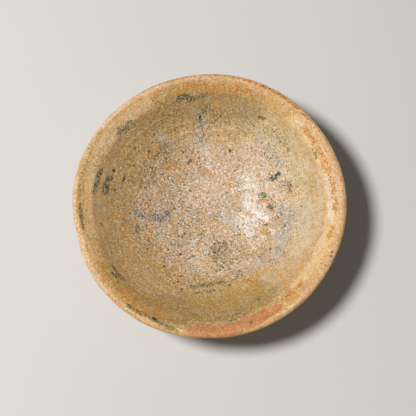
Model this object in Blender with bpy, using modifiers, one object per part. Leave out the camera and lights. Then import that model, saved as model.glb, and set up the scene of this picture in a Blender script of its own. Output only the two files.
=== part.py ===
# A shallow glazed bowl of fired clay on a low ring foot, thrown on a wheel and a little out of round.
# It is one piece: a flat floor, a wall that steepens to a shoulder, a flaring rim band and a rounded lip.
# Metres, +Z up. The origin is the middle of the ring foot, on the surface that the bowl stands on.
# Angles are in degrees anticlockwise from +X, seen from above.

import math

import bpy

# The hollow
RIM_RADIUS = 0.0750  # to the outermost line of the lip
WELL_DEPTH = 0.0325  # from the lip's crest down to the middle of the floor
FLOOR_REACH = 0.0300  # how far out the floor pulls the curve level
WALL_REACH = 0.0150  # how far down the wall keeps its slope
WALL_SLOPE = 46.0  # of the wall where it meets the shoulder

# The clay
FLOOR_THICKNESS = 0.0086  # in the middle of the floor
WALL_THICKNESS = 0.0058  # at the shoulder

# The band from the shoulder out to the lip
BAND_WIDTH = 0.0064
SHOULDER_DROP = 0.0046  # the shoulder's depth under the lip's crest
SHOULDER_ROUND = 0.0012  # how far the shoulder's edge is worn round, to each side
GROOVE_WIDTH = 0.0018  # the turned line just inside the lip
GROOVE_DEPTH = 0.00012

# The lip
LIP_WIDTH = 0.0046
LIP_HEIGHT = 0.0044
LIP_INNER_TURN = 128.0  # where the lip's round ends, inside
LIP_UNDER_TURN = -52.0  # and where it ends, below
NECK_INSET = 0.0010  # the hollow under the lip, outside
NECK_DROP = 0.0009

# The ring foot
FOOT_RADIUS = 0.0285
FOOT_WIDTH = 0.0064  # of the ring, where it stands
FOOT_LEAN = 0.0011  # how much narrower the foot is where it meets the wall
FOOT_EDGE = 0.0006  # the worn edge on both sides of the ring's flat
RECESS_DEPTH = 0.0034  # of the underside inside the ring
RECESS_NIPPLE = 0.0006  # how far the underside swells down in its middle
RECESS_ROUND = 0.0006  # the round where the ring meets the recess

# How far the thrown form is out of true, at the lip: (waves around, size, angle of a crest)
RADIUS_WAVES = (
    (2, 0.00041, 16.0),
    (3, 0.00010, 10.0),
    (4, 0.00013, 68.0),
    (5, 0.00015, 10.0),
    (6, 0.00011, 0.0),
)
HEIGHT_WAVES = ((1, 0.00030, 250.0), (2, 0.00035, 70.0), (3, 0.00020, 20.0))
DENT_ANGLE = 193.0  # a flat pressed into the lip while the clay was soft
DENT_DEPTH = 0.0010
DENT_SPREAD = 8.0

# Nicks knocked out of the lip's outer edge: (angle, length along the lip, bite into it)
NICKS = ((65.7, 0.0024, 0.0006), (62.8, 0.0034, 0.0006), (57.5, 0.0030, 0.0007))
NICK_HEIGHT = 0.0024
NICK_DROP = 0.0013  # below the lip's crest

# How finely the surfaces are divided
TURNS = 96
WALL_POINTS = 13
BAND_POINTS = 4
LIP_POINTS = 8
CLOSEST = 0.00001  # points nearer than this are one point
TINY_SHARE = 0.0001  # of a curve, to read its slope

HEIGHT = RECESS_DEPTH - RECESS_NIPPLE + FLOOR_THICKNESS + WELL_DEPTH

CLAY_COLOUR = (0.60, 0.42, 0.25, 1.0)
CLAY_ROUGHNESS = 0.62


def clear_scene():
    for old in list(bpy.data.objects):
        bpy.data.objects.remove(old, do_unlink=True)


def new_collection(name):
    made = bpy.data.collections.new(name)
    bpy.context.scene.collection.children.link(made)
    return made


def worn_glaze():
    material = bpy.data.materials.new("worn_glaze")
    material.use_nodes = True
    material.diffuse_color = CLAY_COLOUR
    shader = material.node_tree.nodes["Principled BSDF"]
    shader.inputs["Base Color"].default_value = CLAY_COLOUR
    shader.inputs["Roughness"].default_value = CLAY_ROUGHNESS
    shader.inputs["Metallic"].default_value = 0.0
    return material


def spread(first, last, count):
    return [first + (last - first) * step / (count - 1) for step in range(count)]


# The profile, as (radius, height) points

def shoulder():
    return RIM_RADIUS - LIP_WIDTH - BAND_WIDTH, HEIGHT - SHOULDER_DROP


def well_point(share):
    # The hollow is one smooth curve, level at the axis and at the wall's slope under the shoulder.
    floor_height = HEIGHT - WELL_DEPTH
    edge_radius, edge_height = shoulder()
    slope = math.radians(WALL_SLOPE)
    handles = (
        (0.0, floor_height),
        (FLOOR_REACH, floor_height),
        (edge_radius - WALL_REACH * math.cos(slope), edge_height - WALL_REACH * math.sin(slope)),
        (edge_radius, edge_height),
    )
    rest = 1 - share
    weights = (rest**3, 3 * share * rest**2, 3 * share**2 * rest, share**3)
    radius = sum(weight * handle[0] for weight, handle in zip(weights, handles))
    height = sum(weight * handle[1] for weight, handle in zip(weights, handles))
    return radius, height


def outer_point(share):
    # The outside follows the hollow, one thickness of clay away.
    radius, height = well_point(share)
    before = well_point(max(share - TINY_SHARE, 0.0))
    after = well_point(min(share + TINY_SHARE, 1.0))
    slope = math.atan2(after[1] - before[1], after[0] - before[0])
    thickness = FLOOR_THICKNESS + (WALL_THICKNESS - FLOOR_THICKNESS) * radius / shoulder()[0]
    return radius + thickness * math.sin(slope), height - thickness * math.cos(slope)


def share_at(curve, radius):
    # How far along a curve its radius is the one asked for.
    low, high = 0.0, 1.0
    while high - low > TINY_SHARE:
        middle = (low + high) / 2
        if curve(middle)[0] < radius:
            low = middle
        else:
            high = middle
    return high


def lip_point(turn):
    half_width, half_height = LIP_WIDTH / 2, LIP_HEIGHT / 2
    return (
        RIM_RADIUS - half_width + half_width * math.cos(math.radians(turn)),
        HEIGHT - half_height + half_height * math.sin(math.radians(turn)),
    )


def band_point(radius):
    # The band runs straight from the shoulder to the lip's inner end.
    start, end = shoulder(), lip_point(LIP_INNER_TURN)
    return radius, start[1] + (end[1] - start[1]) * (radius - start[0]) / (end[0] - start[0])


def inside_points():
    edge_radius = shoulder()[0]
    wall_top = share_at(well_point, edge_radius - SHOULDER_ROUND)
    points = [well_point(share) for share in spread(0.0, wall_top, WALL_POINTS)]
    groove_end = lip_point(LIP_INNER_TURN)[0]
    groove_start = groove_end - GROOVE_WIDTH
    for radius in spread(edge_radius + SHOULDER_ROUND, groove_start, BAND_POINTS):
        points.append(band_point(radius))
    bottom_radius, bottom_height = band_point((groove_start + groove_end) / 2)
    points.append((bottom_radius, bottom_height - GROOVE_DEPTH))
    return points


def lip_points():
    return [lip_point(turn) for turn in spread(LIP_INNER_TURN, LIP_UNDER_TURN, LIP_POINTS)]


def outside_points():
    under_radius, under_height = lip_point(LIP_UNDER_TURN)
    neck = (under_radius - NECK_INSET, under_height - NECK_DROP)
    foot_share = share_at(outer_point, FOOT_RADIUS - FOOT_LEAN)
    return [neck] + [outer_point(share) for share in spread(1.0, foot_share, WALL_POINTS)]


def recess_point(radius):
    # The underside swells down towards its middle.
    share = 1 - radius / (FOOT_RADIUS - FOOT_WIDTH)
    return radius, RECESS_DEPTH - RECESS_NIPPLE * share**2


def foot_points():
    inner_radius = FOOT_RADIUS - FOOT_WIDTH
    recess_radius = inner_radius - FOOT_LEAN
    flat = [
        (FOOT_RADIUS, FOOT_EDGE),
        (FOOT_RADIUS - FOOT_EDGE, 0.0),
        (inner_radius + FOOT_EDGE, 0.0),
        (inner_radius, FOOT_EDGE),
    ]
    corner = (recess_radius, RECESS_DEPTH - RECESS_ROUND)
    ceiling = [recess_point(radius) for radius in spread(recess_radius - RECESS_ROUND, 0.0, BAND_POINTS)]
    return flat + [corner] + ceiling


# The hand's unevenness

def wave_sum(waves, angle):
    return sum(size * math.cos(math.radians(count * (angle - crest))) for count, size, crest in waves)


def dent(angle):
    away = math.remainder(angle - DENT_ANGLE, 360.0)
    return -DENT_DEPTH * math.exp(-((away / DENT_SPREAD) ** 2))


def make_uneven(mesh):
    # The lip is the most out of true, and the foot, which was trimmed last, not at all.
    for vertex in mesh.vertices:
        place = vertex.co
        radius = math.hypot(place.x, place.y)
        if radius < CLOSEST:
            continue
        angle = math.degrees(math.atan2(place.y, place.x))
        lift = max(place.z, 0.0) / HEIGHT
        reach = radius / RIM_RADIUS
        outwards = wave_sum(RADIUS_WAVES, angle) * lift * reach + dent(angle) * lift**4 * reach
        place.z += wave_sum(HEIGHT_WAVES, angle) * lift**2 * reach
        place.x *= 1 + outwards / radius
        place.y *= 1 + outwards / radius


# The solids

def turned_bowl(collection):
    points = inside_points() + lip_points() + outside_points() + foot_points()
    profile = bpy.data.meshes.new("bowl_profile")
    edges = [(index, index + 1) for index in range(len(points) - 1)]
    profile.from_pydata([(radius, 0.0, height) for radius, height in points], edges, [])
    turning = bpy.data.objects.new("bowl_turning", profile)
    collection.objects.link(turning)
    screw = turning.modifiers.new("turn", "SCREW")
    screw.steps = screw.render_steps = TURNS
    screw.use_merge_vertices = True
    screw.merge_threshold = CLOSEST
    screw.use_smooth_shade = True
    graph = bpy.context.evaluated_depsgraph_get()
    turned = bpy.data.meshes.new_from_object(turning.evaluated_get(graph))
    bpy.data.objects.remove(turning, do_unlink=True)
    make_uneven(turned)
    turned.name = "bowl"
    bowl = bpy.data.objects.new("bowl", turned)
    bowl.data.materials.append(worn_glaze())
    collection.objects.link(bowl)
    return bowl


def nick_cutter(number, angle, length, bite, collection):
    # A shell-shaped bite, longest along the lip. Its centre is one bite outside the lip's edge.
    turn = math.radians(angle)
    out = RIM_RADIUS + wave_sum(RADIUS_WAVES, angle) + dent(angle) + bite
    height = HEIGHT + wave_sum(HEIGHT_WAVES, angle) - NICK_DROP
    bpy.ops.mesh.primitive_ico_sphere_add(
        subdivisions=2,
        radius=1.0,
        location=(out * math.cos(turn), out * math.sin(turn), height),
        rotation=(0.0, 0.0, turn),
    )
    cutter = bpy.context.active_object
    cutter.name = f"nick_cutter_{number}"
    cutter.scale = (2 * bite, length / 2, NICK_HEIGHT / 2)
    bpy.ops.object.transform_apply(location=False, rotation=False, scale=True)
    cutter.hide_render = True
    cutter.display_type = "WIRE"
    for old in list(cutter.users_collection):
        old.objects.unlink(cutter)
    collection.objects.link(cutter)
    return cutter


def build():
    clear_scene()
    bowl = turned_bowl(new_collection("glazed_bowl"))
    cutters = new_collection("cutters")
    for number, (angle, length, bite) in enumerate(NICKS, start=1):
        cutter = nick_cutter(number, angle, length, bite, cutters)
        nick = bowl.modifiers.new(cutter.name, "BOOLEAN")
        nick.operation = "DIFFERENCE"
        nick.object = cutter


build()
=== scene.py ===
import math

import bpy
import numpy as np
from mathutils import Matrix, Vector
from mathutils.bvhtree import BVHTree


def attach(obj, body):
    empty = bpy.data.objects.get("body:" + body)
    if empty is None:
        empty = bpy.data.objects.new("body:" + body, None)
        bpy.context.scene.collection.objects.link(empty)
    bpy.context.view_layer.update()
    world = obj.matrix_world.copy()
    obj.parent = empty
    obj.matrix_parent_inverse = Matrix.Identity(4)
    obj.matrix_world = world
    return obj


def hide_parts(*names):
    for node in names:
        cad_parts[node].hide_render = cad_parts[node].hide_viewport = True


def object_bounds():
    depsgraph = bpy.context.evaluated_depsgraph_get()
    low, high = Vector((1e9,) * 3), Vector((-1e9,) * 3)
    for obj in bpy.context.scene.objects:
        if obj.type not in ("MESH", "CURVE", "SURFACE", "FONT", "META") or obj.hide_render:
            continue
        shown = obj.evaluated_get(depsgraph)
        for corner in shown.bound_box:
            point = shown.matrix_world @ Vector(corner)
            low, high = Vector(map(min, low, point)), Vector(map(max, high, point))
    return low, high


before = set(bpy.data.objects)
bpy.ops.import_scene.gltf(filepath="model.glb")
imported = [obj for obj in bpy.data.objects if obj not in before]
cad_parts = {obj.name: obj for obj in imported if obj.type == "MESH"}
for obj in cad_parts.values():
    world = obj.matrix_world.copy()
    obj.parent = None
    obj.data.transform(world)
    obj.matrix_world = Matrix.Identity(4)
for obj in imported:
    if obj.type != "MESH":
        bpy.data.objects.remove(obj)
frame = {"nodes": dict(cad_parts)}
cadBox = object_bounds()
print("frame loaded:", ", ".join(frame["nodes"]))


# Camera: nearly straight down, leaning back a little towards the near edge of the bowl

cameraSettings = {
    "picture": 416,  # pixels each way
    "sensor": 36.0,
    "lens": 98.4,
    "distance": 0.62,
    "elevation": 77.0,  # degrees above the table
    "aim": (-0.0007, -0.0035),  # across and up, from the bowl's axis
}


def addCamera(s):
    lean = math.radians(s["elevation"])
    target = Vector((s["aim"][0], s["aim"][1], cadBox[1].z))
    back = Vector((0.0, -math.cos(lean), math.sin(lean)))
    bpy.ops.object.camera_add(location=target + back * s["distance"])
    camera = bpy.context.object
    camera.name = "photoCamera"
    camera.rotation_euler = (math.radians(90.0) - lean, 0.0, 0.0)
    camera.data.sensor_width = s["sensor"]
    camera.data.lens = s["lens"]
    camera.data.clip_start = 0.01
    bpy.context.scene.camera = camera
    bpy.context.view_layer.update()
    return camera


camera = addCamera(cameraSettings)


def sightLine(pixel):
    # Where the camera stands, and the way it looks through a pixel of the photograph.
    half = cameraSettings["picture"] / 2
    reach = cameraSettings["sensor"] / cameraSettings["lens"] / 2
    across = (pixel[0] - half) / half * reach
    up = (half - pixel[1]) / half * reach
    ray = camera.matrix_world.to_3x3() @ Vector((across, up, -1.0))
    return camera.matrix_world.translation, ray.normalized()


print("camera placed")


# The bowl's form, as part.py turns it

bowlForm = {
    "rimRadius": 0.0750,
    "wellDepth": 0.0325,
    "floorReach": 0.0300,
    "wallReach": 0.0150,
    "wallSlope": 46.0,
    "floorThickness": 0.0086,
    "wallThickness": 0.0058,
    "bandWidth": 0.0064,
    "shoulderDrop": 0.0046,
    "shoulderStep": (0.0012, 0.0007),  # out and up, from the well's curve to the band
    "wellEnd": 0.985,  # share of the well's curve that is kept below the shoulder
    "grooveDepth": 0.00012,
    "lipWidth": 0.0046,
    "lipHeight": 0.0044,
    "lipTurns": (128.0, -52.0),  # from inside, over the top, to below
    "neckInset": 0.0010,
    "neckDrop": 0.0009,
    "footRadius": 0.0285,
    "footWidth": 0.0064,
    "footLean": 0.0011,
    "footEdge": 0.0006,
    "recessDepth": 0.0034,
    "recessNipple": 0.0006,
    "radiusWaves": (
        (2, 0.00041, 16.0),
        (3, 0.00010, 10.0),
        (4, 0.00013, 68.0),
        (5, 0.00015, 10.0),
        (6, 0.00011, 0.0),
    ),
    "heightWaves": ((1, 0.00030, 250.0), (2, 0.00035, 70.0), (3, 0.00020, 20.0)),
    "dent": (193.0, 0.0010, 8.0),  # angle, depth, spread
    "wallRows": 24,
    "bandRows": 4,
    "lipRows": 7,
    "outerRows": 11,
    "spinSteps": 108,
    "fineness": 2,  # levels of subdivision
}

f = bowlForm
height = f["recessDepth"] - f["recessNipple"] + f["floorThickness"] + f["wellDepth"]
shoulder = (f["rimRadius"] - f["lipWidth"] - f["bandWidth"], height - f["shoulderDrop"])


def spread(first, last, count):
    return [first + (last - first) * step / (count - 1) for step in range(count)]


def wellCurve(share):
    slope = math.radians(f["wallSlope"])
    low = height - f["wellDepth"]
    steepRadius = shoulder[0] - f["wallReach"] * math.cos(slope)
    steepHeight = shoulder[1] - f["wallReach"] * math.sin(slope)
    rest = 1 - share
    weights = (rest**3, 3 * share * rest**2, 3 * share**2 * rest, share**3)
    handles = ((0.0, low), (f["floorReach"], low), (steepRadius, steepHeight), shoulder)
    return tuple(sum(w * handle[axis] for w, handle in zip(weights, handles)) for axis in (0, 1))


def outerCurve(share):
    step = 0.0005
    before, after = wellCurve(max(share - step, 0.0)), wellCurve(min(share + step, 1.0))
    slope = math.atan2(after[1] - before[1], after[0] - before[0])
    radius, level = wellCurve(share)
    wall = f["floorThickness"] + (f["wallThickness"] - f["floorThickness"]) * radius / shoulder[0]
    return radius + wall * math.sin(slope), level - wall * math.cos(slope)


def lipCurve(turn):
    halfWidth, halfHeight = f["lipWidth"] / 2, f["lipHeight"] / 2
    return (
        f["rimRadius"] - halfWidth + halfWidth * math.cos(math.radians(turn)),
        height - halfHeight + halfHeight * math.sin(math.radians(turn)),
    )


def walkAlong(line):
    # How far along a line each of its points lies.
    return np.concatenate(([0.0], np.cumsum(np.hypot(*np.diff(line, axis=0).T))))


def evenly(points, count):
    # The same line, walked in equal steps.
    points = np.array(points)
    walked = walkAlong(points)
    stops = np.linspace(0.0, walked[-1], count)
    return [tuple(np.interp(stop, walked, points[:, axis]) for axis in (0, 1)) for stop in stops]


def bowlProfile():
    # Radius and height, from the middle of the floor over the lip to the middle of the underside.
    fine = 400
    wall = evenly([wellCurve(share) for share in spread(0.0, f["wellEnd"], fine)], f["wallRows"])
    lip = [lipCurve(turn) for turn in spread(*f["lipTurns"], f["lipRows"])]
    out, up = f["shoulderStep"]
    band = evenly([(shoulder[0] + out, shoulder[1] + up), lip[0]], f["bandRows"] + 1)[:-1]
    groove = ((band[-1][0] + lip[0][0]) / 2, (band[-1][1] + lip[0][1]) / 2 - f["grooveDepth"])
    neck = (lip[-1][0] - f["neckInset"], lip[-1][1] - f["neckDrop"])
    top = f["footRadius"] - f["footLean"]
    outer = [point for point in map(outerCurve, spread(1.0, 0.0, fine)) if point[0] > top]
    inner = f["footRadius"] - f["footWidth"]
    edge = f["footEdge"]
    recess = inner - f["footLean"]
    foot = [
        ((top + f["footRadius"]) / 2, outer[-1][1] / 2),
        (f["footRadius"], edge * 2),
        (f["footRadius"] - edge / 3, edge / 3),
        (f["footRadius"] - 2 * edge, 0.0),
        (inner + 2 * edge, 0.0),
        (inner + edge / 3, edge / 3),
        (inner - edge / 3, edge * 2),
        (recess, f["recessDepth"] - edge),
        (recess - edge, f["recessDepth"]),
        (recess / 2, f["recessDepth"] - f["recessNipple"] / 4),
        (0.0, f["recessDepth"] - f["recessNipple"]),
    ]
    return wall + band + [groove] + lip + [neck] + evenly(outer, f["outerRows"]) + foot


def turnBowl(profile):
    bpy.ops.object.select_all(action="DESELECT")
    bpy.ops.mesh.primitive_plane_add(size=0.001, location=(0.0, 0.0, profile[0][1]))
    bowl = bpy.context.object
    bowl.name = "glazedBowl"
    bowl.data.name = "glazedBowl"
    bpy.ops.object.transform_apply(location=True, rotation=True, scale=True)
    bpy.ops.object.mode_set(mode="EDIT")
    bpy.ops.mesh.select_all(action="SELECT")
    bpy.ops.mesh.merge(type="CENTER")
    for before, after in zip(profile, profile[1:]):
        step = (after[0] - before[0], 0.0, after[1] - before[1])
        bpy.ops.mesh.extrude_region_move(TRANSFORM_OT_translate={"value": step})
    bpy.ops.mesh.select_all(action="SELECT")
    bpy.ops.mesh.spin(
        steps=f["spinSteps"],
        angle=math.tau,
        center=(0.0, 0.0, 0.0),
        axis=(0.0, 0.0, 1.0),
    )
    bpy.ops.mesh.select_all(action="SELECT")
    bpy.ops.mesh.remove_doubles(threshold=0.00001)
    bpy.ops.mesh.normals_make_consistent(inside=False)
    bpy.ops.object.mode_set(mode="OBJECT")
    return bowl


def readVectors(items, name):
    values = np.empty(len(items) * 3, dtype=np.float32)
    items.foreach_get(name, values)
    return values.reshape(-1, 3).astype(float)


def readPlaces(mesh):
    return readVectors(mesh.vertices, "co")


def writePlaces(mesh, places):
    mesh.vertices.foreach_set("co", places.astype(np.float32).ravel())
    mesh.update()


def writeLayer(mesh, name, values):
    layer = mesh.attributes.new(name, "FLOAT", "POINT")
    layer.data.foreach_set("value", np.asarray(values, dtype=np.float32))


def readLayer(mesh, name):
    values = np.empty(len(mesh.vertices), dtype=np.float32)
    mesh.attributes[name].data.foreach_get("value", values)
    return values.astype(float)


def markProfile(mesh, profile):
    # Each vertex keeps how far along the profile it lies, in metres from the middle of the floor.
    line = np.array(profile)
    walked = walkAlong(line)
    places = readPlaces(mesh)
    away = np.hypot(radiusOf(places)[:, None] - line[:, 0], places[:, 2:] - line[:, 1])
    writeLayer(mesh, "along", walked[away.argmin(axis=1)])
    return walked


def waves(rows, angle):
    # Waves around the bowl: how many, how high and where one has its crest.
    return sum(size * np.cos(np.radians(count * (angle - crest))) for count, size, crest in rows)


def radiusOf(places):
    return np.hypot(places[:, 0], places[:, 1])


def angleOf(places):
    return np.degrees(np.arctan2(places[:, 1], places[:, 0]))


def turnedAway(angle, other):
    # How far one angle lies from another, the short way round.
    return (angle - other + 180.0) % 360.0 - 180.0


def rimOut(angle):
    # How far the rim stands out from its circle: in waves, and at its one flat.
    dentAngle, dentDepth, dentSpread = f["dent"]
    dent = -dentDepth * np.exp(-((turnedAway(angle, dentAngle) / dentSpread) ** 2))
    return waves(f["radiusWaves"], angle), dent


def warp(places):
    # The lip is the most out of true, and the foot not at all.
    radius = radiusOf(places)
    angle = angleOf(places)
    lift = np.clip(places[:, 2], 0.0, None) / height
    reach = radius / f["rimRadius"]
    wave, dent = rimOut(angle)
    outwards = wave * lift * reach + dent * lift**4 * reach
    scale = 1 + outwards / np.maximum(radius, 1e-6)
    upwards = waves(f["heightWaves"], angle) * lift**2 * reach
    return np.column_stack((places[:, 0] * scale, places[:, 1] * scale, places[:, 2] + upwards))


profile = bowlProfile()
bowl = turnBowl(profile)
walked = markProfile(bowl.data, profile)
smooth = bowl.modifiers.new("round", "SUBSURF")
smooth.levels = smooth.render_levels = f["fineness"]
bpy.ops.object.modifier_apply(modifier="round")
bpy.ops.object.shade_smooth()
writePlaces(bowl.data, warp(readPlaces(bowl.data)))
print("bowl turned:", len(bowl.data.polygons), "faces")

# Where each part of the profile starts, in metres along it
bandRow = f["wallRows"]
lipRow = bandRow + f["bandRows"] + 1
neckRow = lipRow + f["lipRows"]
footRow = neckRow + f["outerRows"]
bandStart = (walked[bandRow - 1] + walked[bandRow]) / 2
lipStart = walked[lipRow]
lipTop = walked[lipRow + 1]
neckStart = walked[neckRow]
footTop = walked[footRow]
footInner = walked[footRow + 6]


# What the years left on it, with some painted light and shade where noted. Paths are pixels of the photograph, widths
# are half widths in millimetres.
# The last number of each is how strong it is.

# Broken stains, seen as clusters of fine strokes; some of them are partly painted sheen and shade, as noted
marks = {
    "rust": {
        "underTopLip": ([(176, 92), (190, 87.5), (206, 85.5), (224, 86.5), (240, 88.5), (249, 91)], 2.0, 0.80),
        "topCurls": ([(206, 89), (222, 90.5), (236, 92)], 1.6, 0.72),
        # Partly rust, partly painted shade along the far lip's outer edge
        "outerEdgeTopRustAndShade": ([(140, 91), (160, 83), (180, 77.5), (200, 74.8), (222, 75), (243, 79.5)], 0.6, 0.88),
        "outerEdgeRightRustAndShade": ([(243, 79.5), (255, 84), (270, 90), (284, 98), (297, 108), (308, 119)], 0.7, 1.05),
        "topLeftDrip": ([(176, 90), (181, 93)], 1.6, 0.7),
        "topLeftStroke": ([(150, 99), (158, 96)], 1.0, 0.62),
        "topSpots": ([(251, 95), (254, 99)], 1.2, 0.75),
        "upperRightStrokes": ([(258, 93), (268, 98), (278, 108), (286, 113.5)], 1.3, 0.6),
        "upperRightSpots": ([(284, 113), (288, 114.5)], 1.2, 0.75),
        "rightBand": (
            [(304, 128), (312, 139), (319, 150), (325, 161), (329, 172), (333, 185), (334.5, 197), (335, 209)],
            1.8,
            0.92,
        ),
        "rightBandInner": ([(309, 137), (316, 148), (321, 159), (325, 171)], 1.2, 0.76),
        "rightSpot": ([(332, 228), (328.5, 237)], 1.8, 0.85),
        "rightSmallSpot": ([(328, 246)], 1.0, 0.7),
        "rightDots": ([(321, 211), (330, 207)], 0.9, 0.7),
        "lowerRight": ([(301, 284), (293, 291.5), (285, 299)], 1.9, 0.85),
        "lowerRightThin": ([(303, 253), (310, 247)], 1.6, 0.45),
        "floorDash": ([(246, 282), (249, 280), (253, 282.5)], 0.9, 1.30),
        "floorDashEdge": ([(241, 281.5), (254, 281)], 1.5, 0.60),
        "floorSpotLeft": ([(271, 274.5)], 1.1, 0.85),
        "floorSpotRight": ([(281.5, 276.3)], 1.1, 0.85),
        "lowerLeft": ([(99, 262), (108, 278), (119, 291), (130, 303), (147, 312), (160, 317)], 2.2, 0.74),
        "lowerLeftWall": ([(122, 286), (131, 293), (146, 299), (160, 306)], 3.2, 0.52),
        "leftWall": ([(97, 233), (100, 246), (108, 262)], 3.4, 0.34),
        "leftLip": ([(87, 175), (85, 195), (88, 215)], 1.8, 0.42),
        "floorStain": ([(158, 247), (155, 253), (150, 262)], 3.0, 0.42),
        "besideRing": ([(143, 228.5), (148, 227), (151, 231), (151, 237), (147, 240), (144, 236)], 1.0, 0.85),
        "underEye": ([(260, 200), (266, 200.5)], 1.6, 0.88),
        "farPit": ([(257.5, 177)], 1.5, 0.8),
        "nearPit": ([(262, 231.5), (268, 235)], 1.3, 0.92),
        "chipHalo": ([(230, 151)], 1.4, 0.8),
        "midFloor": ([(205, 226), (230, 232), (241, 236)], 4.0, 0.30),
        "innerSmear": ([(166, 168), (173, 165)], 1.8, 0.55),
        "upperLeftFloor": ([(160, 150), (170, 160), (180, 172)], 6.0, 0.26),
        "lowerLeftFloor": ([(150, 262), (165, 275), (180, 270)], 8.0, 0.30),
        "bottomLine": ([(205, 319.5), (222, 320)], 0.7, 0.6),
    },
    "green": {
        "topCluster": ([(179, 99), (184, 96.5), (189, 99)], 2.0, 0.80),
        "topTrail": ([(190, 100), (199, 97), (205, 95)], 1.3, 0.62),
        "fallingTrail": ([(207, 106), (201, 115), (200, 127)], 1.6, 0.50),
        "underTop": ([(215, 117), (222, 123)], 1.8, 0.40),
        "upperLeft": ([(120, 131), (126, 127), (130, 124)], 2.6, 0.62),
        "leftOuter": ([(101, 170), (97.5, 180), (94.5, 192)], 1.6, 0.74),
        "leftInner": ([(109, 179), (106, 186), (105, 191)], 2.4, 0.78),
        "leftDots": ([(115, 190)], 1.0, 0.7),
        "lowerLeftTop": ([(112, 265), (117.5, 272)], 0.7, 0.66),
        "lowerLeftOuter": ([(111.5, 272), (116, 277)], 0.8, 0.84),
        "lowerLeftInner": ([(117, 274), (125, 280)], 0.8, 0.74),
        "lowerLeftDot": ([(118, 281.5), (119.5, 282.5)], 0.7, 0.70),
        "lowerLeftLipDots": ([(127, 305), (137, 311.5), (147, 316), (156, 320), (166, 326)], 1.4, 0.40),
        "leftLipDots": ([(80, 205), (81, 216), (83, 227)], 1.2, 0.37),
        "farRight": ([(272, 179), (278, 174.5)], 1.8, 0.92),
        "farRightTrail": ([(282, 184), (289, 184), (290, 190)], 2.2, 0.50),
        "bottomStreak": ([(190, 287), (206, 285), (222, 283)], 1.8, 0.48),
        "bottomStreakLow": ([(196, 292), (214, 290)], 1.4, 0.36),
        "besideRust": ([(313, 149), (316, 157)], 1.0, 0.60),
        "patchEdge": ([(228, 321), (238, 319)], 0.6, 0.6),
        "bottomDot": ([(259, 299)], 1.8, 0.42),
        "floorDots": ([(288.5, 149.5)], 1.1, 0.65),
        "eye": ([(261, 194.5), (264.5, 195.5)], 1.5, 0.50),
        "lowerEye": ([(268, 206.5), (272, 208)], 1.4, 0.50),
        "upperFloor": ([(165, 150), (150, 165), (146, 178)], 4.5, 0.28),
        "rightFloor": ([(270, 132), (284, 138)], 4.0, 0.26),
        "topFloor": ([(214, 118), (240, 120), (246, 128)], 5.0, 0.20),
        "darkPatch": ([(219, 246), (219, 257), (225, 266)], 3.8, 0.24),
        "darkPatchSide": ([(230, 256), (237, 262)], 2.4, 0.30),
    },
    "blue": {
        "leftFloor": ([(136, 212), (144, 217.5)], 1.8, 0.70),
        "midFloor": ([(155, 217), (161, 219.5), (168, 214)], 2.3, 0.77),
        "leftDrop": ([(137, 226), (137, 231)], 1.6, 0.66),
        "rightVeil": ([(281, 211), (289, 214), (286, 226), (281, 236)], 3.6, 0.38),
        "belowVeil": ([(279, 248), (284, 256)], 2.6, 0.34),
        "topVeil": ([(262, 145), (270, 152), (276, 158)], 3.6, 0.26),
        "centreTop": ([(205, 135), (200, 142)], 3.0, 0.34),
        "lowRight": ([(262, 256), (272, 262)], 3.0, 0.26),
        "lowFloor": ([(236, 279), (239, 272)], 1.6, 0.40),
    },
    "white": {
        # These sheen strokes are partly a whitish bloom on the glaze, partly painted sheen where the lamp's highlight
        # falls on the floor
        "sheenTop": ([(247, 204), (254, 211)], 3.0, 0.50),
        "sheenRight": ([(259, 214), (267, 219)], 2.4, 0.60),
        "sheenMiddle": ([(240, 218), (256, 222)], 3.2, 0.38),
        "sheenLow": ([(246, 228), (250, 235)], 2.0, 0.50),
        "sheenSide": ([(271, 231), (274, 233)], 1.4, 0.55),
        "sheenUpper": ([(246, 172), (252, 188)], 4.0, 0.36),
        "lowerBits": ([(255, 246), (262, 238)], 2.4, 0.34),
        "upperFloor": ([(204, 152), (209, 164)], 3.4, 0.42),
        "darkPatch": ([(218, 246), (216, 262)], 4.0, 0.30),
        "rightBand": ([(329, 206), (331, 214)], 1.4, 0.25),
    },
    "olive": {
        "leftLip": ([(80, 205), (80.5, 213), (81.5, 222), (83.5, 229)], 0.9, 0.92),
        "upperLeftLip": ([(83, 165), (80, 180), (79.5, 196)], 1.0, 0.46),
        "lowerLeftLip": ([(127, 305), (137, 311.5), (147, 316), (155, 319.5), (163, 325), (178, 331)], 1.4, 0.80),
        "leftLipHigh": ([(102, 129), (95, 137.5), (88, 149.5)], 0.6, 0.44),
        "eye": ([(261, 194.5), (264, 195.5)], 1.9, 0.86),
        "lowerEye": ([(269, 206.5), (272, 208)], 1.8, 0.84),
        "darkPatch": ([(221, 245), (217, 252), (221, 260)], 4.8, 0.40),
        "fadedSpot": ([(313, 180), (313, 190)], 3.0, 0.28),
    },
}
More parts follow.
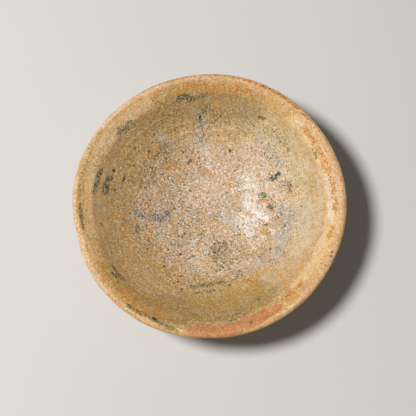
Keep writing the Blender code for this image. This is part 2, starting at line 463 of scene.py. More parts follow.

# Soft washes of colour. Some also paint light and shade, as noted.
washes = {
    "sage": {
        # Partly the glaze's own grey-green, partly painted light: the right wall, which faces the lamp, is made paler
        "rightWall": ([(289, 150), (304, 178), (308, 212), (302, 240)], 9.0, 0.85),
        "upperRight": ([(240, 112), (262, 126), (282, 140)], 9.0, 0.75),
        "upperFloor": ([(190, 140), (222, 132)], 7.0, 0.35),
    },
    "drab": {
        # Over the top and bottom walls and bands: partly the glaze's own darker tone, partly painted shade
        "topWall": ([(150, 118), (178, 106), (212, 103), (250, 108)], 9.0, 0.95),
        "topBand": ([(172, 91), (205, 87), (245, 91)], 3.0, 0.60),
        "bottomWall": ([(165, 304), (200, 309), (232, 305), (262, 293)], 9.0, 1.0),
        "bottomBand": ([(160, 316), (195, 322), (226, 320), (250, 310)], 3.4, 0.95),
        "lowLeftWall": ([(108, 272), (128, 294), (158, 308)], 6.0, 0.80),
        "leftWall": ([(112, 150), (100, 180), (98, 215), (106, 250)], 6.0, 0.12),
        "upperLeftFloor": ([(150, 135), (170, 150)], 8.0, 0.30),
        "centreRight": ([(218, 199), (227, 208)], 7.0, 0.62),
        "darkPatch": ([(221, 245), (218, 258)], 4.0, 0.45),
    },
    "umber": {
        # Partly the glaze's own darker tone, partly painted shade
        "bottomBand": ([(150, 313), (175, 320), (205, 321), (232, 317.5), (252, 308)], 2.2, 0.60),
        "topBand": ([(190, 92), (215, 92), (240, 95)], 2.6, 0.30),
        "lowerLeft": ([(126, 292), (146, 302), (160, 308)], 3.0, 0.30),
    },
    "veil": {
        "right": ([(281, 209), (292, 214), (288, 226), (280, 240), (276, 254)], 4.0, 0.80),
        "middle": ([(222, 218), (236, 224)], 3.0, 0.65),
        "centre": ([(214, 203), (228, 209)], 5.0, 0.30),
        "rightWall": ([(302, 205), (303, 235)], 5.0, 0.30),
        "top": ([(262, 145), (277, 158)], 4.0, 0.40),
        "left": ([(134, 213), (150, 218), (166, 216)], 3.4, 0.25),
        "centreTop": ([(204, 146), (197, 136)], 3.4, 0.50),
        "low": ([(232, 270), (262, 262)], 4.0, 0.35),
        "upperLeft": ([(160, 137), (172, 147)], 3.4, 0.40),
        "underTop": ([(196, 112), (204, 124)], 3.0, 0.40),
    },
    "yellow": {
        "lowFloor": ([(213, 289), (232, 287), (256, 289)], 4.5, 0.72),
        "lowerEdge": ([(190, 300), (222, 302), (246, 297)], 5.0, 0.50),
        "besideDark": ([(206, 262), (213, 268)], 3.0, 0.40),
        "rightWall": ([(313, 176), (314, 192)], 3.0, 0.30),
        "upperRight": ([(262, 99), (275, 104)], 2.4, 0.55),
        "midFloor": ([(274, 207), (275, 219)], 1.8, 0.50),
        "besideEye": ([(231, 233), (238, 238)], 2.6, 0.60),
        "leftLip": (
            [(102, 129), (95, 137.5), (88, 149.5), (83, 159), (79.6, 170.5), (78, 180), (77.5, 200)],
            0.7,
            0.95,
        ),
    },
    "pale": {
        # Partly a whitish bloom, partly painted sheen of the lamp's highlight on the floor
        "floorSheen": ([(252, 186), (256, 200), (252, 216), (246, 230)], 7.0, 0.75),
        "floorRight": ([(248, 180), (258, 228)], 10.0, 0.34),
        "upperFloor": ([(206, 150), (232, 166)], 10.0, 0.26),
        # Painted highlight: a pale line along the left lip's outer edge
        "outerLine": ([(74.5, 178), (73, 205), (74.5, 232), (80, 252), (90, 271), (106, 292)], 0.9, 0.85),
        # Painted light: a pale line along the right lip's outer edge, which is turned from the lamp
        "outerLineRight": (
            [
                (322, 122), (336, 146), (344, 172), (346.5, 200), (345, 225),
                (338, 250), (326, 272), (306, 296), (280, 315),
            ],
            0.7,
            0.72,
        ),
        # Painted highlight: a pale line along the upper left lip
        "upperLeftLip": ([(84, 155), (100, 128), (118, 109), (138, 95), (158, 86)], 1.3, 0.80),
        "upperRight": ([(250, 150), (274, 174)], 8.0, 0.66),
        "rightFloor": ([(272, 186), (286, 204)], 6.0, 0.55),
        "lowerLeftFloor": ([(145, 200), (152, 235), (180, 258), (212, 240)], 7.0, 0.26),
        "lowFloor": ([(188, 268), (228, 272)], 5.0, 0.34),
        "centreLow": ([(194, 244), (200, 252)], 5.0, 0.38),
        "rightShoulderHigh": ([(317, 172), (321.5, 205), (319, 232)], 1.8, 0.40),
        "rightLip": ([(337, 178), (340, 205), (337.5, 232)], 1.5, 0.40),
        "rightBand": ([(327, 176), (330.5, 190), (331.5, 206), (329.5, 222)], 2.2, 1.1),
        "rightBandHigh": ([(296, 120), (308, 134), (318, 150)], 1.8, 0.40),
        "centreTop": ([(196, 196), (212, 192)], 7.0, 0.30),
        # Painted light: the lit edge of the band at the upper left shoulder
        "upperLeftShoulder": ([(104, 150), (114, 134), (129, 118), (149, 105)], 2.4, 0.34),
        "rightShoulder": ([(322, 240), (312, 262), (300, 276)], 2.2, 0.45),
        "lowerRightWall": ([(272, 276), (290, 264), (301, 246)], 7.0, 0.34),
        # Painted highlight along the raised glaze edge beside the bare flake
        "lowerEdge": ([(196, 322.5), (214, 322.8), (231, 320.5)], 0.7, 0.75),
        "leftShoulder": ([(108, 133), (98, 155), (91, 180), (90, 205)], 1.7, 0.38),
    },
    "pink": {
        "topLip": ([(165, 83), (190, 77.5), (215, 76), (240, 79.5), (262, 88), (285, 101)], 1.8, 0.80),
        "rightLip": ([(300, 113), (320, 137), (334, 164), (341, 192), (341, 218), (335, 243)], 2.0, 0.80),
        "lowerRightLip": ([(330, 256), (318, 276), (303, 294)], 2.0, 0.65),
        "upperFloor": ([(200, 158), (222, 172), (214, 196)], 10.0, 0.35),
    },
    "bright": {
        "rightBand": ([(296, 122), (316, 146), (328, 176), (332, 205), (328, 236), (314, 262), (296, 284)], 3.6, 1.05),
        "leftBand": ([(112, 128), (98, 148), (90, 176), (88, 205), (91, 232)], 2.6, 0.90),
        "upperLeftBand": ([(112, 128), (128, 111), (148, 98)], 2.8, 0.75),
        # Painted light: the lit edge of the band at the upper left shoulder
        "upperLeftShoulder": ([(104, 150), (114, 134), (129, 118), (149, 105)], 2.6, 0.95),
        "leftWall": ([(105, 168), (99, 200), (101, 234)], 3.6, 0.45),
        "lowFloor": ([(204, 263), (216, 268), (230, 262)], 5.0, 0.50),
        "centreTop": ([(196, 194), (212, 190)], 6.0, 0.32),
        "lowerLeftLip": ([(85, 240), (90, 253), (98, 269), (110, 286), (124, 300)], 2.2, 0.80),
    },
    "bare": {
        "bottomFlake": ([(195, 331.5), (208, 332), (224, 330.5), (239, 326.5), (252, 321), (264, 315)], 4.0, 1.0),
        "fadingEnd": ([(264, 314.5), (271, 311), (277, 307.5)], 3.8, 0.63),
    },
    "pitted": {
        "leftFloor": ([(130, 190), (150, 215), (165, 245), (180, 270)], 14.0, 0.58),
        "middle": ([(175, 185), (200, 225), (215, 250)], 14.0, 0.50),
        "darkPatch": ([(221, 246), (218, 254), (225, 262)], 5.0, 1.0),
        "upperLeft": ([(160, 150), (190, 165)], 12.0, 0.55),
        "right": ([(240, 180), (262, 215), (240, 245)], 12.0, 0.55),
        "topWall": ([(185, 115), (225, 118)], 8.0, 0.30),
        "upperWall": ([(135, 160), (165, 130), (200, 125)], 9.0, 0.50),
        "lowFloor": ([(195, 275), (235, 275)], 8.0, 0.50),
        "upperRight": ([(225, 118), (262, 145), (285, 185)], 10.0, 0.22),
    },
    "calm": {
        "rightWall": ([(300, 150), (316, 180), (318, 215), (308, 245), (290, 270)], 8.0, 0.9),
        "topRightWall": ([(250, 112), (280, 128)], 8.0, 0.7),
        "leftWall": ([(120, 150), (104, 180), (100, 215), (108, 250), (125, 280)], 6.0, 0.6),
        "bottomWall": ([(150, 306), (200, 312), (245, 306), (275, 288)], 6.0, 0.6),
        "rightBand": ([(322, 160), (334, 200), (330, 235), (316, 264), (296, 288)], 4.0, 0.7),
        "rightLip": ([(341, 192), (340, 225), (330, 256), (312, 284), (288, 305), (262, 320)], 3.5, 0.9),
    },
}

# Single specks: pixel, radius in millimetres and how strong, then stretch and turn in degrees unless round
specks = {
    "dark": [
        (114.1, 170.5, 0.75, 1.0),
        (124.2, 179.1, 0.40, 1.0, 4.0, 62.0),
        (149.0, 151.3, 0.60, 0.9),
        (162.4, 174.3, 0.55, 0.9),
        (175.4, 130.3, 0.50, 0.8),
        (183.5, 152.8, 0.50, 0.8),
        (134.2, 165.7, 0.55, 0.8, 1.2, 0.0),
        (180.6, 254.2, 0.70, 1.0),
        (184.9, 233.7, 0.55, 0.9, 1.3, 0.0),
        (163.9, 266.2, 0.60, 0.9),
        (181.6, 289.1, 0.60, 0.9),
        (178.2, 281.5, 0.50, 0.8, 1.2, 20.0),
        (229.7, 284.8, 0.40, 0.9, 1.7, 90.0),
        (200.2, 117.8, 0.75, 0.9),
        (188.6, 163.4, 0.70, 0.95),
        (259.6, 116.9, 0.50, 0.95, 1.8, -10.0),
        (230.3, 151.0, 0.60, 0.9),
        (284.9, 225.5, 0.45, 0.8),
        (301.1, 205.9, 0.50, 0.7),
        (270.5, 249.0, 0.60, 0.8, 1.2, 0.0),
        (147.6, 249.0, 0.50, 0.8),
        (278.0, 174.3, 0.60, 0.9, 1.7, 20.0),
        (272.0, 178.6, 0.45, 0.9, 1.3, 30.0),
        (276.0, 178.9, 0.35, 0.8),
        (154.8, 318.8, 0.80, 0.8, 1.2, 0.0),
    ],
    "moss": [
        (214.4, 252.3, 0.70, 1.0, 1.4, -30.0),
        (219.3, 249.1, 0.55, 0.8, 1.3, 40.0),
        (226.7, 248.4, 0.50, 0.8, 1.2, 0.0),
        (232.6, 259.3, 0.45, 1.0, 1.5, -20.0),
        (236.8, 259.6, 0.40, 0.8, 1.2, 0.0),
        (214.4, 258.2, 0.45, 0.8, 1.2, 0.0),
        (223.5, 267.4, 0.50, 0.9, 1.3, 20.0),
        (216.5, 270.9, 0.50, 0.9, 1.2, 0.0),
        (220.4, 269.8, 0.45, 0.8, 1.2, 0.0),
        (228.8, 269.5, 0.45, 0.8, 1.5, 10.0),
        (206.0, 244.2, 0.50, 0.9, 1.2, 0.0),
        (222.8, 205.6, 0.55, 1.0, 1.2, 0.0),
        (219.3, 215.1, 0.45, 0.8, 1.2, 0.0),
        (240.0, 234.4, 0.45, 0.8, 1.4, 0.0),
        (266.7, 224.9, 0.50, 0.9, 2.0, 80.0),
        (259.6, 256.5, 0.45, 0.8, 1.3, 30.0),
        (262.0, 193.8, 0.55, 0.9, 1.3, 20.0),
        (265.2, 195.6, 0.50, 0.9, 1.2, 0.0),
        (268.2, 206.4, 0.50, 0.9, 1.2, 0.0),
        (271.8, 208.6, 0.50, 0.9, 1.3, 50.0),
    ],
    "brown": [
        (190.6, 160.6, 0.95, 0.8, 1.3, 60.0),
        (263.0, 118.2, 0.85, 0.9, 1.9, -12.0),
        (250.9, 322.1, 0.75, 1.0, 1.4, 10.0),
        (332.2, 252.0, 0.75, 0.9, 1.3, 60.0),
        (330.8, 256.2, 0.70, 0.8, 1.2, 50.0),
        (325.5, 265.2, 0.60, 0.85, 1.3, 50.0),
        (100.8, 223.6, 0.36, 0.6, 2.6, 0.0),
        (102.6, 225.8, 0.38, 0.6, 2.8, 90.0),
        (328.4, 151.3, 0.45, 0.7),
        (342.3, 190.5, 0.45, 0.7),
        (263.0, 86.0, 0.50, 0.9, 1.6, -35.0),
        (269.5, 88.6, 0.42, 0.7, 2.2, -28.0),
        (280.2, 93.6, 0.45, 0.8, 1.7, -32.0),
    ],
    "red": [
        (148.8, 240.6, 0.55, 1.0, 1.4, 30.0),
        (137.6, 272.4, 0.50, 0.9, 1.4, 20.0),
        (148.8, 207.5, 0.45, 0.8),
    ],
    "scratch": [
        (300.2, 111.2, 0.22, 0.6, 7.0, -42.0),
        (303.5, 116.5, 0.20, 0.5, 5.0, -50.0),
        (313.0, 125.5, 0.22, 0.6, 6.0, 60.0),
    ],
}

paintReach = 0.0058  # how far past the lip's top the stains go


def within(distance, fade):
    # 0 outside, 1 once a fade's length inside.
    return np.clip(distance / fade, 0.0, 1.0)


along = readLayer(bowl.data, "along")
places = readPlaces(bowl.data)
inside = within(lipTop + paintReach - along, 0.001)

tree = BVHTree.FromPolygons(
    [tuple(place) for place in places],
    [tuple(face.vertices) for face in bowl.data.polygons],
)


def onBowl(pixel):
    start, ray = sightLine(pixel)
    hit = tree.ray_cast(start, ray)[0]
    if hit is None:  # just past the lip: the nearest of it
        hit = tree.find_nearest(start + ray * ((height - start.z) / ray.z))[0]
    return np.array(hit)


def nearPath(pixels, reach):
    # 1 on the path, fading to 0 a little beyond its half width.
    points = [onBowl(pixel) for pixel in pixels]
    nearest = np.full(len(places), 1.0)
    for start, end in zip(points, points[1:] or points):
        way = end - start
        share = np.clip(((places - start) @ way) / max(way @ way, 1e-12), 0.0, 1.0)
        nearest = np.minimum(nearest, np.linalg.norm(places - start - share[:, None] * way, axis=1))
    fade = np.clip(1.5 - nearest / reach, 0.0, 1.0)
    return fade * fade * (3 - 2 * fade)


def paintLayers(mesh, groups):
    for kind, strokes in groups.items():
        amount = np.zeros(len(places))
        for path, halfWidth, strength in strokes.values():
            amount = np.maximum(amount, nearPath(path, halfWidth / 1000) * strength)
        writeLayer(mesh, kind, amount * inside)


paintLayers(bowl.data, marks)
paintLayers(bowl.data, washes)
print("stains painted")


# Relief of the thrown clay and the worn glaze, in metres

relief = {
    "seed": 11,
    "floorRings": (0.00010, 0.0052, 0.0260),  # height, spacing, where they have faded
    "middleFade": 0.003,
    "wallRings": (0.00004, 0.0037, 0.0200),  # height, spacing, where they start
    "secondRings": (0.7, 1.73),  # height and spacing against the first
    "ringFade": 0.010,
    "outerRidges": (0.00010, 0.0049),
    "secondRidges": (0.5, 0.61),
    "ridgeFade": 0.004,
    "ripples": (28, 0.00003, 0.005, 0.018),  # how many, height, shortest and longest
    "flake": 0.00022,  # thickness of the glaze lost from the bare patch
    "flakeEdge": (0.1875, 0.625),  # of the bare layer: where the loss starts, and over what it grows
    "glazeThickness": 0.00022,  # at its uneven edge above the foot
    "glazeEdge": 0.0105,  # above the foot, along the wall
    "glazeWaves": ((3, 0.0016, 40.0), (7, 0.0011, 10.0)),
    "glazeFade": 0.0012,
    "footFade": 0.003,
    "nicks": ((65.7, 0.0024, 0.0006), (62.8, 0.0034, 0.0006), (57.5, 0.0030, 0.0007)),  # angle, length, bite
    "nickHeight": 0.0024,
    "nickDrop": 0.0013,
    "rimWear": (46, 0.0006, 0.0017, 0.00005, 0.00018),  # how many, sizes and depths
    "wearReach": (0.0005, 0.0030),  # past the lip's top
    # Chips and pits: pixel, radius and depth in millimetres
    "pits": [
        ((190.6, 161.5), 1.3, 0.22),
        ((262.6, 118.2), 1.4, 0.25),
        ((257.5, 177.0), 1.4, 0.16),
        ((262.5, 195.5), 1.7, 0.18),
        ((270.0, 207.0), 1.5, 0.18),
        ((264.0, 233.0), 1.5, 0.16),
        ((230.0, 151.0), 1.2, 0.22),
        ((250.9, 322.1), 1.1, 0.22),
        ((102.0, 225.0), 1.5, 0.20),
        ((124.2, 179.1), 1.2, 0.18),
        ((332.0, 253.5), 1.4, 0.20),
        ((278.0, 174.5), 1.5, 0.14),
        ((114.1, 170.5), 1.1, 0.20),
        ((180.6, 254.0), 1.1, 0.20),
        ((184.0, 98.0), 2.2, 0.10),
        ((106.0, 186.0), 2.4, 0.10),
    ],
    "ring": ((146.0, 232.5), 1.6, 0.9, 0.14),  # pixel, radius, width and depth
}


def reliefHeight(r):
    angle = angleOf(places)
    radius = radiusOf(places)
    outer = along > neckStart
    hollow = (along < bandStart) & (radius < shoulder[0])

    size, spacing, end = r["floorRings"]
    spiral = np.cos(math.tau * (radius / spacing + angle / 360.0))
    rise = size * spiral * within(end - radius, r["ringFade"]) * within(radius, r["middleFade"]) * hollow

    size, spacing, start = r["wallRings"]
    share, wider = r["secondRings"]
    rings = np.cos(math.tau * along / spacing)
    rings += share * np.cos(math.tau * along / (spacing * wider) + np.radians(angle))
    rise += size * rings * within(radius - start, r["ringFade"]) * hollow

    size, spacing = r["outerRidges"]
    share, closer = r["secondRidges"]
    ridges = np.cos(math.tau * along / spacing + np.radians(angle))
    ridges += share * np.cos(math.tau * along / (spacing * closer))
    rise += size * ridges * within(along - neckStart, r["ridgeFade"]) * within(footTop - along, r["ridgeFade"])

    count, size, shortest, longest = r["ripples"]
    draw = np.random.default_rng(r["seed"])
    for _ in range(count):
        way = draw.normal(size=3)
        way *= math.tau / draw.uniform(shortest, longest) / np.linalg.norm(way)
        rise += size / math.sqrt(count / 4) * np.cos(places @ way + draw.uniform(0.0, math.tau))

    start, fade = r["flakeEdge"]
    rise -= r["flake"] * within(readLayer(bowl.data, "bare") - start, fade)

    edge = footTop - r["glazeEdge"] + waves(r["glazeWaves"], angle)
    glazed = np.clip((edge - along) / r["glazeFade"] + 0.5, 0.0, 1.0)
    rise += r["glazeThickness"] * glazed * outer
    writeLayer(bowl.data, "glazed", glazed)

    count, smallest, largest, shallow, deep = r["rimWear"]
    for _ in range(count):
        at, size, depth = draw.uniform(-180.0, 180.0), draw.uniform(smallest, largest), draw.uniform(shallow, deep)
        level = lipTop + draw.uniform(*r["wearReach"])
        away = np.hypot(np.radians(turnedAway(angle, at)) * radius, along - level)
        rise -= depth * np.exp(-((away / size) ** 2))

    for pixel, size, depth in r["pits"]:
        away = np.linalg.norm(places - onBowl(pixel), axis=1) * 1000
        rise -= depth / 1000 * np.exp(-((away / size) ** 4))
    pixel, size, width, depth = r["ring"]
    away = np.linalg.norm(places - onBowl(pixel), axis=1) * 1000
    rise -= depth / 1000 * np.exp(-(((away - size) / width) ** 2))

    # The foot stands flat, so nothing moves there.
    return rise * within(footTop - along, r["footFade"])


def cutNicks(moved, r):
    # Shell-shaped bites out of the lip's outer edge: what lies in one is pulled in to its wall.
    for turn, length, bite in r["nicks"]:
        wave, dent = rimOut(turn)
        reach = f["rimRadius"] + wave + dent + bite
        level = height + waves(f["heightWaves"], turn) - r["nickDrop"]
        way = math.radians(turn)
        outwards = np.array((math.cos(way), math.sin(way)))
        sideways = np.array((-math.sin(way), math.cos(way)))
        out = (moved[:, :2] @ outwards - reach) / (2 * bite)
        side = (moved[:, :2] @ sideways) / (length / 2)
        up = (moved[:, 2] - level) / (r["nickHeight"] / 2)
        wall = np.sqrt(np.clip(1 - side**2 - up**2, 0.0, None))
        bitten = (wall > 0) & (np.abs(out) < wall)
        moved[bitten, :2] -= ((out + wall)[bitten] * 2 * bite)[:, None] * outwards
    return moved


normals = readVectors(bowl.data.vertex_normals, "vector")
shaped = places + normals * reliefHeight(relief)[:, None]
writePlaces(bowl.data, cutNicks(shaped, relief))
print("relief shaped")


# Shader maths

class Wire:
    # A shader socket that can be used in sums.
    def __init__(self, tree, socket):
        self.tree = tree
        self.socket = socket

    def node(self, kind, settings=None, inputs=None, output=0):
        made = self.tree.nodes.new(kind)
        for name, value in (settings or {}).items():
            setattr(made, name, value)
        for name, value in (inputs or {}).items():
            if isinstance(value, Wire):
                self.tree.links.new(value.socket, made.inputs[name])
            else:
                made.inputs[name].default_value = value
        return Wire(self.tree, made.outputs[output])

    def other(self, output):
        # Another output of the same node.
        return Wire(self.tree, self.socket.node.outputs[output])

    def into(self, target):
        self.tree.links.new(self.socket, target)

    def maths(self, operation, first, second=0.0, third=0.0, clamp=False):
        settings = {"operation": operation, "use_clamp": clamp}
        return self.node("ShaderNodeMath", settings, {0: first, 1: second, 2: third})

    def __add__(self, other):
        return self.maths("ADD", self, other)

    def __sub__(self, other):
        return self.maths("SUBTRACT", self, other)

    def __rsub__(self, other):
        return self.maths("SUBTRACT", other, self)

    def __mul__(self, other):
        return self.maths("MULTIPLY", self, other)

    __radd__ = __add__
    __rmul__ = __mul__

    def highest(self, other):
        return self.maths("MAXIMUM", self, other)

    def ramp(self, start, end):
        # 0 below start, 1 above end.
        gain = 1.0 / (end - start)
        return self.maths("MULTIPLY_ADD", self, gain, -start * gain, clamp=True)

    def mix(self, first, second):
        colours = [(*c, 1.0) if isinstance(c, tuple) else c for c in (first, second)]
        return self.node("ShaderNodeMix", {"data_type": "RGBA"}, {0: self, 6: colours[0], 7: colours[1]}, output=2)


def newMaterial(name):
    material = bpy.data.materials.new(name)
    material.use_nodes = True
    tree = material.node_tree
    shader = tree.nodes["Principled BSDF"]
    return material, shader, Wire(tree, None)


glazeLook = {
    # Glaze
    "centre": (0.425, 0.285, 0.118),
    "wall": (0.460, 0.270, 0.088),
    "band": (0.580, 0.320, 0.085),
    "lip": (0.640, 0.360, 0.130),
    # Grey-green of the glaze, also laid on partly as painted light on the right wall
    "sage": (0.580, 0.465, 0.270),
    # Darker tones of the glaze, laid on partly as painted shade over the top and bottom walls
    "drab": (0.260, 0.160, 0.030),
    "umber": (0.200, 0.110, 0.022),
    "yellow": (0.400, 0.240, 0.030),
    "ochre": (0.520, 0.275, 0.070),
    "veil": (0.460, 0.470, 0.440),
    # Pale weathering, also laid on as painted sheen on the floor and painted highlights along the lip
    "pale": (0.760, 0.660, 0.540),
    # White of the weathered glaze, also laid on as painted sheen
    "whiteAndPaintedSheen": (0.880, 0.840, 0.820),
    "pink": (0.640, 0.340, 0.185),
    # Bright buff of the band, also laid on as painted light at the upper left shoulder
    "bright": (0.760, 0.510, 0.235),
    # Flecks and stains
    "fleckDark": (0.070, 0.070, 0.038),
    "fleckWhite": (0.870, 0.790, 0.690),
    "fleckCream": (0.800, 0.605, 0.310),
    "fleckOrange": (0.540, 0.200, 0.035),
    "fleckGrey": (0.185, 0.200, 0.150),
    "rust": (0.330, 0.100, 0.008),
    "rustLight": (0.700, 0.325, 0.024),
    "green": (0.045, 0.070, 0.045),
    "blue": (0.050, 0.094, 0.112),
    "olive": (0.175, 0.155, 0.028),
    "dark": (0.035, 0.030, 0.018),
    "moss": (0.075, 0.075, 0.035),
    "brown": (0.250, 0.075, 0.028),
    "red": (0.440, 0.095, 0.030),
    "scratch": (0.850, 0.760, 0.640),
    # Bare clay
    "clay": (0.400, 0.128, 0.040),
    "clayPale": (0.570, 0.218, 0.082),
    "footClay": (0.540, 0.330, 0.190),
    "footSoil": (0.240, 0.150, 0.085),
    "roughness": 0.50,
    "bumpHeight": 0.00022,
    # Washes in the order that they are laid on, and those that also lie thinly over the grains
    "washes": ("sage", "drab", "umber", "yellow", "bright", "veil", "pale", "pink"),
    "films": ("drab", "umber", "yellow", "veil", "bright"),
    "filmStrength": 0.24,
    # Stains: layer, colour, where it starts to show, how softly, how strong and how dotted
    "stains": (
        ("rust", "rustLight", 0.60, 0.26, 0.86, 0.6),
        ("rust", "rust", 0.80, 0.26, 0.80, 0.8),
        # The white layer is partly painted sheen
        ("white", "whiteAndPaintedSheen", 0.50, 0.26, 0.85, 0.4),
        ("blue", "blue", 0.66, 0.20, 0.90, 1.1),
        ("olive", "olive", 0.52, 0.22, 0.88, 0.4),
        ("green", "green", 0.56, 0.18, 0.94, 0.9),
    ),
    # Sizes of the patterns, in metres
    "wobble": 0.0010,
    "wobbleReach": 0.0018,
    "fine": 0.00050,
    "clump": 0.0014,
    "mottle": 0.0032,
    "cloud": 0.0100,
    "drift": 0.0280,
    "lines": 0.00075,
    "streak": 0.0024,
    "lineStretch": 0.13,  # the smaller, the longer the lines run around the bowl
    "grain": 0.00105,
    "smallGrain": 0.00066,
    # How clearly the grains show
    "smallPale": 0.72,
    "smallOrange": 0.66,
    "smallGrey": 0.90,
    "largePale": 0.45,
    "largeOrange": 0.55,
    # Pits: how dense everywhere, and what the pitted parts add
    "largePits": (0.04, 0.50),
    "smallPits": (0.025, 0.17),
    "dirt": 0.92,  # how dark pits and specks are
    "speckShift": 0.0009,  # what the wobble moves a speck by
    # How deep the grains, pits and specks go, against bumpHeight
    "grainDepths": (0.9, 0.8, 0.5),  # fine, clumps and lines
    "pitDepth": 0.9,
    "speckDepth": 0.8,
}


def wornGlaze(look):
    material, shader, make = newMaterial("wornGlaze")
    place = make.node("ShaderNodeTexCoord", output=3)

    def layer(name):
        return make.node("ShaderNodeAttribute", {"attribute_name": name}, output=2)

    def vector(operation, first, second=(0.0, 0.0, 0.0), third=(0.0, 0.0, 0.0), output=0):
        inputs = {0: first, 1: second, 2: third}
        return make.node("ShaderNodeVectorMath", {"operation": operation}, inputs, output)

    def noise(size, detail=1.0, at=place):
        inputs = {"Vector": at, "Scale": 1.0 / size, "Detail": detail}
        return make.node("ShaderNodeTexNoise", {}, inputs)

    def flecks(size, at, shift):
        # Grains of glaze: how far from a grain's middle, and three chances of its own.
        moved = vector("ADD", at, (shift, shift, shift))
        distance = make.node("ShaderNodeTexVoronoi", {}, {"Vector": moved, "Scale": 1.0 / size})
        chances = make.node("ShaderNodeSeparateColor", {}, {0: distance.other(1)})
        return distance, chances, chances.other(1), chances.other(2)

    wobble = noise(look["wobble"], 2.0)
    bent = vector("MULTIPLY_ADD", wobble.other(1), (look["wobbleReach"],) * 3, place)
    profileWay = layer("along")
    flat = make.node("ShaderNodeCombineXYZ", {}, {2: profileWay})
    turned = vector("MULTIPLY_ADD", place, (look["lineStretch"], look["lineStretch"], 0.0), flat)

    fine, clump = (noise(look[name], at=bent) for name in ("fine", "clump"))
    mottle, cloud, drift = (noise(look[name], 2.0) for name in ("mottle", "cloud", "drift"))
    lines, streak = (noise(look[name], 2.0, turned) for name in ("lines", "streak"))

    calm = layer("calm")
    pitted = layer("pitted")
    onBand = (profileWay + (cloud - 0.5) * 0.004).ramp(bandStart - 0.0010, bandStart + 0.0012)
    onLip = (profileWay + (mottle - 0.5) * 0.002).ramp(lipStart - 0.0006, lipStart + 0.0008)
    beyondLip = profileWay.ramp(lipTop + 0.0046, lipTop + 0.0064)

    # Glaze, by where it lies
    wallShare = (profileWay + (cloud - 0.5) * 0.024).ramp(0.026, 0.052)
    base = wallShare.mix(look["centre"], look["wall"])
    base = onBand.mix(base, look["band"])
    base = onLip.mix(base, look["lip"])
    patchy = (mottle * 1.6 + cloud * 1.2 - 0.4).ramp(0.0, 1.0)
    # Washes, some of them partly painted light and shade
    for name in look["washes"]:
        base = (layer(name) * patchy).mix(base, look[name])

    # Soft changes of tone
    onWell = 1 - onBand
    lined = onBand + wallShare * 0.5
    base = (mottle.ramp(0.49, 0.67) * (onWell * 0.30 + 0.15)).mix(base, look["veil"])
    base = (mottle.ramp(0.50, 0.34) * 0.50).mix(base, look["ochre"])
    base = (drift.ramp(0.50, 0.66) * 0.22).mix(base, look["ochre"])
    base = (lines.ramp(0.54, 0.72) * lined * 0.40).mix(base, look["fleckOrange"])
    base = (lines.ramp(0.46, 0.30) * lined * 0.30).mix(base, look["fleckCream"])

    # The flake where the glaze has gone from the near edge
    bare = (layer("bare") + (clump - 0.5) * 0.5 + (fine - 0.5) * 0.4).ramp(0.44, 0.62)
    claySkin = (streak * 0.7 + mottle * 0.7).ramp(0.50, 0.88).mix(look["clay"], look["clayPale"])
    base = bare.mix(base, claySkin)

    # Grains: pale, orange and grey ones, and pits with dirt in them
    paleGrain = wallShare.mix(look["fleckWhite"], look["fleckCream"])
    distance, first, second, third = flecks(look["grain"], bent, 0.0)
    core = distance.ramp(0.66, 0.30)
    rough = (1 - calm * 0.34) * (1 - bare * 0.65)
    warm = rough * (1 - layer("sage") * 0.6)
    pale = second.ramp(0.70, 0.86) * core * rough
    orange = third.ramp(0.74, 0.90) * core * warm
    smallDistance, smallFirst, smallSecond, smallThird = flecks(look["smallGrain"], bent, 0.37)
    smallCore = smallDistance.ramp(0.80, 0.40)
    smallGrey = smallThird.ramp(0.62, 0.88) * smallCore * rough * (1 - onLip * 0.5)
    base = (smallFirst.ramp(0.54, 0.84) * rough * look["smallPale"]).mix(base, paleGrain)
    base = (smallSecond.ramp(0.54, 0.84) * warm * look["smallOrange"]).mix(base, look["fleckOrange"])
    base = (smallGrey * look["smallGrey"]).mix(base, look["fleckGrey"])
    base = (pale * look["largePale"]).mix(base, paleGrain)
    base = (orange * look["largeOrange"]).mix(base, look["fleckOrange"])
    base = (fine.ramp(0.52, 0.66) * onLip * 0.65).mix(base, look["fleckOrange"])
    base = (fine.ramp(0.46, 0.32) * onLip * 0.75).mix(base, look["fleckCream"])
    base = (smallThird.ramp(0.86, 0.94) * smallCore * onLip * 0.55).mix(base, look["brown"])
    for name in look["films"]:
        base = (layer(name) * patchy * look["filmStrength"]).mix(base, look[name])

    everywhere, more = look["largePits"]
    density = everywhere + pitted * cloud.ramp(0.36, 0.60) * more
    pitCore = (third * 0.42 + 0.15 - distance).ramp(0.0, 0.16)
    largePit = (density - first).ramp(0.0, 0.06) * pitCore
    everywhere, more = look["smallPits"]
    density = everywhere + pitted * more
    smallPit = (density - smallThird).ramp(0.0, 0.03) * smallDistance.ramp(0.64, 0.38) * (1 - bare * 0.6)
    pit = largePit.highest(smallPit) * (1 - onLip * 0.7)
    base = (pit * look["dirt"]).mix(base, look["fleckDark"])

    # Stains break up into strokes and dots, the partly painted sheen among the white ones too
    dots = smallDistance.ramp(0.75, 0.25)
    broken = (clump - 0.5) * 1.3 + (fine - 0.5) * 1.8 + (smallSecond - 0.5) * 0.45
    for name, colour, level, softness, strength, dotted in look["stains"]:
        amount = layer(name)
        pattern = amount + broken + (dots - 0.42) * dotted
        cover = pattern.ramp(level, level + softness) * amount.ramp(0.02, 0.14) * strength
        base = cover.mix(base, look[colour])

    def fromMiddle(at, middle, size, stretch=1.0, turn=0.0):
        # How far from a speck's middle, counted in its own radius. Height counts a third, as on a slope.
        gain = np.array((1000.0, 1000.0, 333.0)) / size
        away = vector("MULTIPLY_ADD", at, tuple(gain), tuple(-middle * gain))
        if stretch != 1.0:
            way = (math.cos(math.radians(turn)), math.sin(math.radians(turn)), 0.0)
            away = vector("MULTIPLY_ADD", vector("PROJECT", away, way), (1 / stretch - 1,) * 3, away)
        return vector("LENGTH", away, output=1)

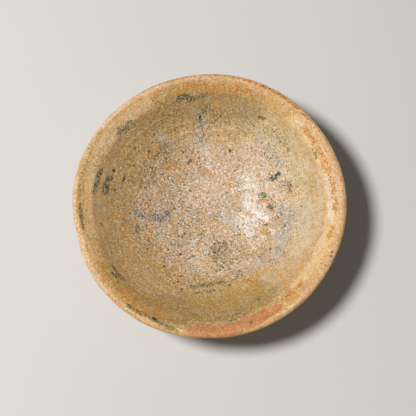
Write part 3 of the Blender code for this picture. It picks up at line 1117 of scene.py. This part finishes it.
    # Single specks: whole within 0.8 of the radius, gone at 1.3
    covers = {}
    for kind, spots in specks.items():
        cover = None
        at, shift = (place, 0.0) if kind == "scratch" else (bent, look["speckShift"])
        for across, down, size, strength, *shape in spots:
            away = fromMiddle(at, onBowl((across, down)) + shift, size, *shape)
            amount = make.maths("MULTIPLY_ADD", away, -2.0 * strength, 2.6 * strength, clamp=True)
            cover = amount if cover is None else cover.highest(amount)
        base = (cover * look["dirt"]).mix(base, look[kind])
        covers[kind] = cover

    # Outside: the same glaze, thinner and plainer, stopping short of the foot, and the clay below it
    glazed = layer("glazed")
    outerGlaze = (streak * 0.7 + cloud * 0.7).ramp(0.5, 0.9).mix(look["wall"], look["band"])
    outerGlaze = (drift.ramp(0.45, 0.62) * 0.5).mix(outerGlaze, look["drab"])
    outerGlaze = (lines.ramp(0.54, 0.72) * 0.40).mix(outerGlaze, look["fleckOrange"])
    outerGlaze = (smallFirst.ramp(0.5, 0.90) * 0.45).mix(outerGlaze, look["fleckCream"])
    outerGlaze = (smallSecond.ramp(0.6, 0.90) * 0.40).mix(outerGlaze, look["fleckOrange"])
    outerGlaze = (smallThird.ramp(0.66, 0.90) * smallCore * 0.60).mix(outerGlaze, look["fleckGrey"])
    outerGlaze = (pit * 0.8).mix(outerGlaze, look["fleckDark"])
    footSkin = (lines * 0.5 + mottle * 0.7).ramp(0.4, 0.8).mix(look["footClay"], look["clayPale"])
    footSkin = (cloud.ramp(0.48, 0.62) * 0.5).mix(footSkin, look["footSoil"])
    footSkin = (profileWay.ramp(footInner - 0.001, footInner + 0.002) * 0.35).mix(footSkin, look["footSoil"])
    footSkin = (third.ramp(0.8, 0.9) * core * 0.5).mix(footSkin, look["footSoil"])
    outside = (glazed + (clump - 0.5) * 0.5).ramp(0.44, 0.60).mix(footSkin, outerGlaze)
    base = beyondLip.mix(base, outside)
    base.into(shader.inputs["Base Color"])

    unglazed = bare.highest(beyondLip * (1 - glazed))
    roughness = look["roughness"] + (clump - 0.5) * 0.30 + unglazed * 0.30 + pit * 0.25 + onLip * 0.15
    roughness.into(shader.inputs["Roughness"])

    fineDepth, clumpDepth, lineDepth = look["grainDepths"]
    grain = (fine - 0.5) * fineDepth + (clump - 0.5) * clumpDepth + (lines - 0.5) * lineDepth
    surface = grain * (1 - calm * 0.5) - pit * look["pitDepth"] - covers["dark"] * look["speckDepth"]
    inputs = {"Strength": 1.0, "Distance": look["bumpHeight"], "Height": surface}
    make.node("ShaderNodeBump", {}, inputs).into(shader.inputs["Normal"])
    return material


bowl.data.materials.append(wornGlaze(glazeLook))
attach(bowl, "root")
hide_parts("bowl")
print("glaze laid on")


# Floor and light

stageSettings = {
    "floorSize": 6.0,
    "floorColour": (0.60, 0.585, 0.56, 1.0),
    "floorRoughness": 0.8,
    "skyColour": (1.0, 1.0, 1.0, 1.0),
    "skyStrength": 0.14,
    "keyFrom": (-0.407, 0.0, 0.914),
    "keyDistance": 1.4,
    "keySize": 0.27,
    "keyPower": 21.0,
}


def addFloor(s):
    bpy.ops.mesh.primitive_plane_add(size=s["floorSize"], location=(0.0, 0.0, 0.0))
    floor = bpy.context.object
    floor.name = "paleFloor"
    material, shader, _ = newMaterial("paleFloor")
    shader.inputs["Base Color"].default_value = s["floorColour"]
    shader.inputs["Roughness"].default_value = s["floorRoughness"]
    floor.data.materials.append(material)


def addLight(s):
    spot = Vector(s["keyFrom"]).normalized() * s["keyDistance"]
    bpy.ops.object.light_add(type="AREA", location=spot)
    lamp = bpy.context.object
    lamp.name = "keyLight"
    lamp.data.shape = "DISK"
    lamp.data.size = s["keySize"]
    lamp.data.energy = s["keyPower"]
    lamp.rotation_euler = spot.to_track_quat("Z", "Y").to_euler()


def addSky(s):
    world = bpy.data.worlds.new("softSky")
    world.use_nodes = True
    background = world.node_tree.nodes["Background"]
    background.inputs["Color"].default_value = s["skyColour"]
    background.inputs["Strength"].default_value = s["skyStrength"]
    bpy.context.scene.world = world


addFloor(stageSettings)
addLight(stageSettings)
addSky(stageSettings)
bpy.context.scene.view_settings.view_transform = "Standard"
print("floor and light set")
